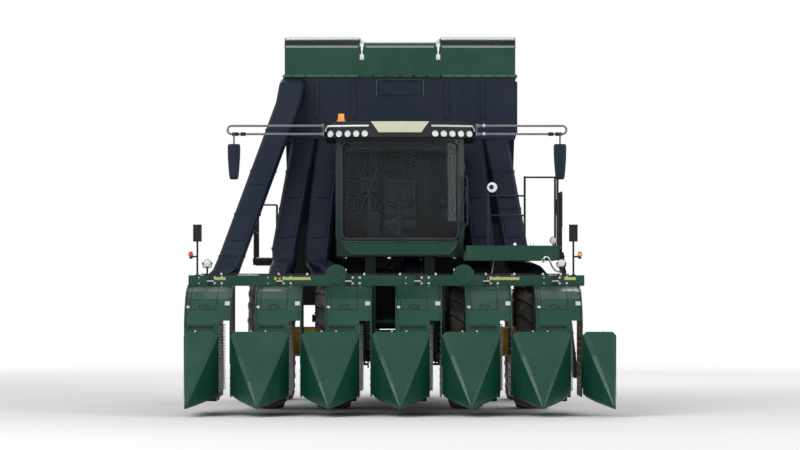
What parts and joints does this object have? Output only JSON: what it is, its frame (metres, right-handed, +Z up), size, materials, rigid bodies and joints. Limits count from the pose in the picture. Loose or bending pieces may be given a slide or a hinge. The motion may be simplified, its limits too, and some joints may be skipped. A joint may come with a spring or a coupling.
{
  "type": "cotton harvester",
  "caption": "Self-propelled cotton picker with a wide row head, cab, air ducts up to a tall accumulator, dual front wheels and a round module chamber with a swinging rear gate.",
  "frame": {"origin": "centre of the bounding box on the ground", "axes": "+Y to the machine's rear, -Y is the front with the row units, +X to the operator's left where the cab door and ladder are, +Z up"},
  "size_m": [5.923, 9.9, 5.462],
  "materials": {
    "green_paint": "gloss",
    "black_paint": "satin",
    "black_plastic": "matt",
    "cab_trim": "matt",
    "yellow_paint": "gloss",
    "tyre_rubber": "matt",
    "belt_rubber": "matt",
    "window_glass": "clear",
    "rod_chrome": "polished",
    "lamp_lens": "clear",
    "amber_lens": "clear",
    "pale_panel": "satin",
    "seat_cloth": "matt",
    "zinc": "satin"
  },
  "bodies": {
    "harvester": {"chassis": "green_paint", "front_brackets": "green_paint", "rear_brackets": "green_paint", "front_axle": "black_paint", "rear_axle": "black_paint", "engine": "black_paint", "side_boxes": "black_paint", "side_tanks": "black_paint", "side_shields": "green_paint", "cab_shell": "green_paint", "cab_fascia": "green_paint", "cab_roof": "green_paint", "visor_panel": "pale_panel", "cab_glass": "window_glass", "operator_station": "cab_trim", "seat_cushions": "seat_cloth", "landing": "green_paint", "landing_rails": "black_paint", "ladder": "black_paint", "service_deck": "black_paint", "accumulator": "black_plastic", "accumulator_hood": "green_paint", "hood_trim": "zinc", "air_ducts": "black_plastic", "mirrors": "black_plastic", "roof_lamps": "lamp_lens", "beacon": "amber_lens", "chamber_sides": "green_paint", "chamber_belts": "belt_rubber"},
    "door": {"cab_door": "green_paint", "door_glass": "window_glass"},
    "gate": {"gate_frame": "green_paint", "gate_belts": "belt_rubber"},
    "gate_barrels": {"gate_barrels": "black_paint"},
    "gate_rods": {"gate_rods": "rod_chrome"},
    "handler": {"handler": "black_paint"},
    "handler_barrels": {"handler_barrels": "black_paint"},
    "handler_rods": {"handler_rods": "rod_chrome"},
    "lift_arms": {"lift_arms": "green_paint"},
    "upper_links": {"upper_links": "green_paint"},
    "lift_barrels": {"lift_barrels": "black_paint"},
    "lift_rods": {"lift_rods": "rod_chrome"},
    "head": {"toolbar": "green_paint", "row_units": "green_paint", "end_divider": "green_paint", "hood_latches": "zinc", "marker_lamps": "black_paint", "marker_lenses": "amber_lens"},
    "front_wheels_right": {"front_tyres_right": "tyre_rubber", "front_rims_right": "yellow_paint"},
    "front_wheels_left": {"front_tyres_left": "tyre_rubber", "front_rims_left": "yellow_paint"},
    "knuckle_right": {"knuckle_right": "black_paint"},
    "knuckle_left": {"knuckle_left": "black_paint"},
    "tie_rod": {"tie_rod": "black_paint"},
    "rear_wheel_right": {"rear_tyre_right": "tyre_rubber", "rear_rim_right": "yellow_paint"},
    "rear_wheel_left": {"rear_tyre_left": "tyre_rubber", "rear_rim_left": "yellow_paint"}
  },
  "joints": [
    {"name": "front_spin_left", "type": "hinge", "parent": "harvester", "child": "front_wheels_left", "pos_m": [1.4475, -1.25, 0.975], "axis": [1, 0, 0], "continuous": true},
    {"name": "front_spin_right", "type": "hinge", "parent": "harvester", "child": "front_wheels_right", "pos_m": [-1.4475, -1.25, 0.975], "axis": [1, 0, 0], "continuous": true},
    {"name": "steer_left", "type": "hinge", "parent": "harvester", "child": "knuckle_left", "pos_m": [1.45, 2.75, 0.875], "axis": [0, 0, 1], "range_deg": [-30, 30]},
    {"name": "steer_right", "type": "hinge", "parent": "harvester", "child": "knuckle_right", "pos_m": [-1.45, 2.75, 0.875], "axis": [0, 0, 1], "range_deg": [-30.5, 30.5]},
    {"name": "tie_rod_pivot", "type": "hinge", "parent": "knuckle_left", "child": "tie_rod", "pos_m": [1.45, 3.1, 0.717], "axis": [0, 0, 1], "range_deg": [-30.5, 30.5]},
    {"name": "rear_spin_left", "type": "hinge", "parent": "knuckle_left", "child": "rear_wheel_left", "pos_m": [1.93, 2.75, 0.875], "axis": [1, 0, 0], "continuous": true},
    {"name": "rear_spin_right", "type": "hinge", "parent": "knuckle_right", "child": "rear_wheel_right", "pos_m": [-1.93, 2.75, 0.875], "axis": [1, 0, 0], "continuous": true},
    {"name": "head_lift", "type": "hinge", "parent": "harvester", "child": "lift_arms", "pos_m": [0, -1.7, 1.26], "axis": [-1, 0, 0], "range_deg": [0, 32]},
    {"name": "upper_link_swing", "type": "hinge", "parent": "harvester", "child": "upper_links", "pos_m": [0, -1.7, 1.66], "axis": [-1, 0, 0], "range_deg": [-0.5, 32.5]},
    {"name": "head_level", "type": "hinge", "parent": "lift_arms", "child": "head", "pos_m": [0, -2.89, 0.915], "axis": [-1, 0, 0], "range_deg": [-32.5, 0.5]},
    {"name": "lift_barrel_swing", "type": "hinge", "parent": "harvester", "child": "lift_barrels", "pos_m": [0, -1.6, 0.7], "axis": [-1, 0, 0], "range_deg": [-0.5, 24]},
    {"name": "lift_rod_slide", "type": "slide", "parent": "lift_barrels", "child": "lift_rods", "axis": [0, -0.9819, 0.1892], "range_m": [-0.005, 0.28]},
    {"name": "cab_door_hinge", "type": "hinge", "parent": "harvester", "child": "door", "pos_m": [0.92, -2.056, 3], "axis": [0, 0, 1], "range_deg": [0, 80]},
    {"name": "gate_hinge", "type": "hinge", "parent": "harvester", "child": "gate", "pos_m": [0, 3.4, 3.9], "axis": [1, 0, 0], "range_deg": [0, 60]},
    {"name": "gate_barrel_swing", "type": "hinge", "parent": "harvester", "child": "gate_barrels", "pos_m": [0, 2.85, 3.55], "axis": [1, 0, 0], "range_deg": [-0.5, 17]},
    {"name": "gate_rod_slide", "type": "slide", "parent": "gate_barrels", "child": "gate_rods", "axis": [0, 0.9975, 0.0712], "range_m": [-0.005, 0.25]},
    {"name": "handler_hinge", "type": "hinge", "parent": "harvester", "child": "handler", "pos_m": [0, 3.75, 0.78], "axis": [1, 0, 0], "range_deg": [-28, 0]},
    {"name": "handler_barrel_swing", "type": "hinge", "parent": "harvester", "child": "handler_barrels", "pos_m": [0, 3.65, 0.54], "axis": [1, 0, 0], "range_deg": [-16, 0.5]},
    {"name": "handler_rod_slide", "type": "slide", "parent": "handler_barrels", "child": "handler_rods", "axis": [0, 0.9459, 0.3243], "range_m": [-0.11, 0.005]}
  ],
  "couplings": [
    {"joint": "steer_right", "follows": "steer_left", "ratio": 1},
    {"joint": "tie_rod_pivot", "follows": "steer_left", "ratio": -1},
    {"joint": "upper_link_swing", "follows": "head_lift", "ratio": 1},
    {"joint": "head_level", "follows": "head_lift", "ratio": -1},
    {"joint": "lift_barrel_swing", "follows": "head_lift", "ratio": 0.7314},
    {"joint": "lift_rod_slide", "follows": "head_lift", "m_per_rad": 0.4879},
    {"joint": "gate_barrel_swing", "follows": "gate_hinge", "ratio": 0.2717},
    {"joint": "gate_rod_slide", "follows": "gate_hinge", "m_per_rad": 0.2316},
    {"joint": "handler_barrel_swing", "follows": "handler_hinge", "ratio": 0.546},
    {"joint": "handler_rod_slide", "follows": "handler_hinge", "m_per_rad": 0.2151}
  ]
}
